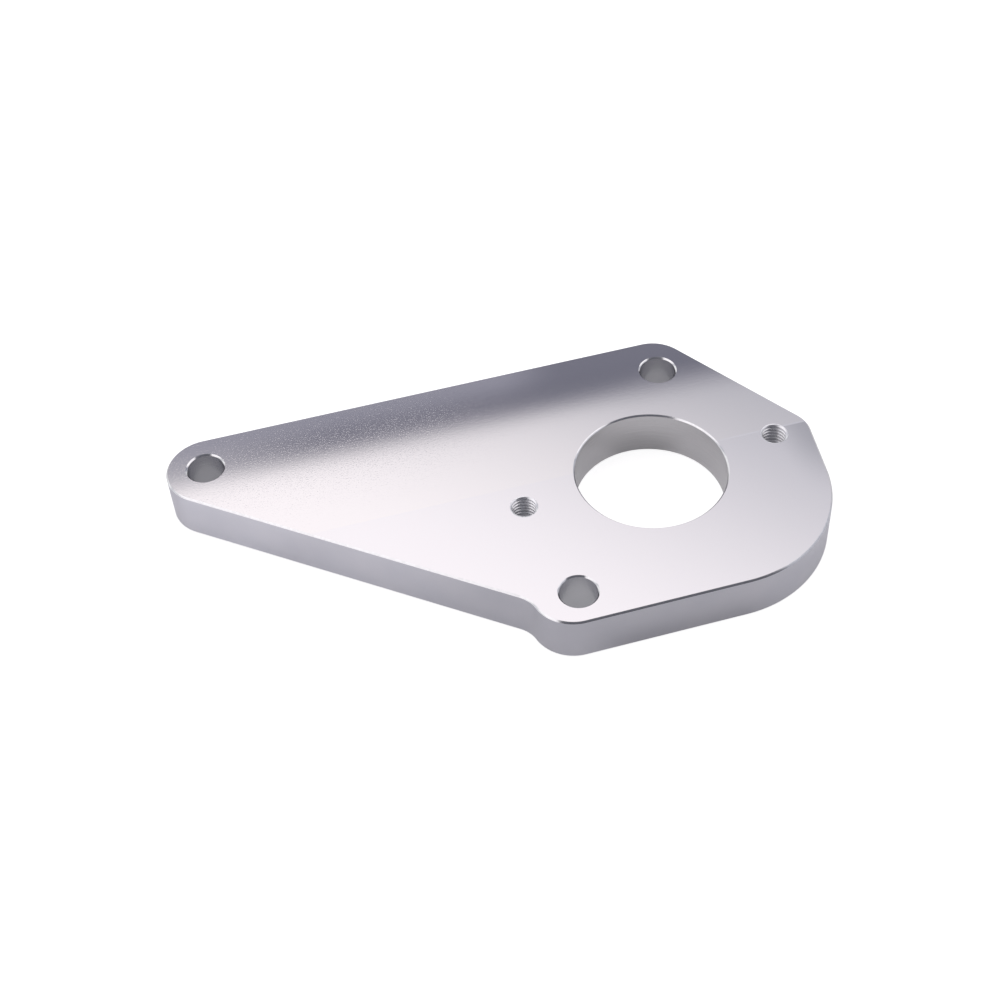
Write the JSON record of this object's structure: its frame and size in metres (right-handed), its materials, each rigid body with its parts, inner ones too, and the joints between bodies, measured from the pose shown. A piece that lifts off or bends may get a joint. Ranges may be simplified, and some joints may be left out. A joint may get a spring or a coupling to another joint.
{
  "type": "power steering bracket",
  "caption": "Flat machined aluminium bracket plate with rounded corners, a large pump bore, tapped pump holes and clearance holes for bolting to an engine.",
  "frame": {"origin": "centre of the pump bore, on the plate's back face, which it lies on", "axes": "+Z through the plate's thickness from the back face to the front face, along the pump bore; +X from the pump bore towards the right tapped hole, so both tapped holes lie on X"},
  "size_m": [0.1841, 0.1094, 0.015],
  "materials": {
    "machined_aluminium": "satin machined"
  },
  "bodies": {
    "root": {"bracket_plate": "machined_aluminium"}
  },
  "joints": []
}
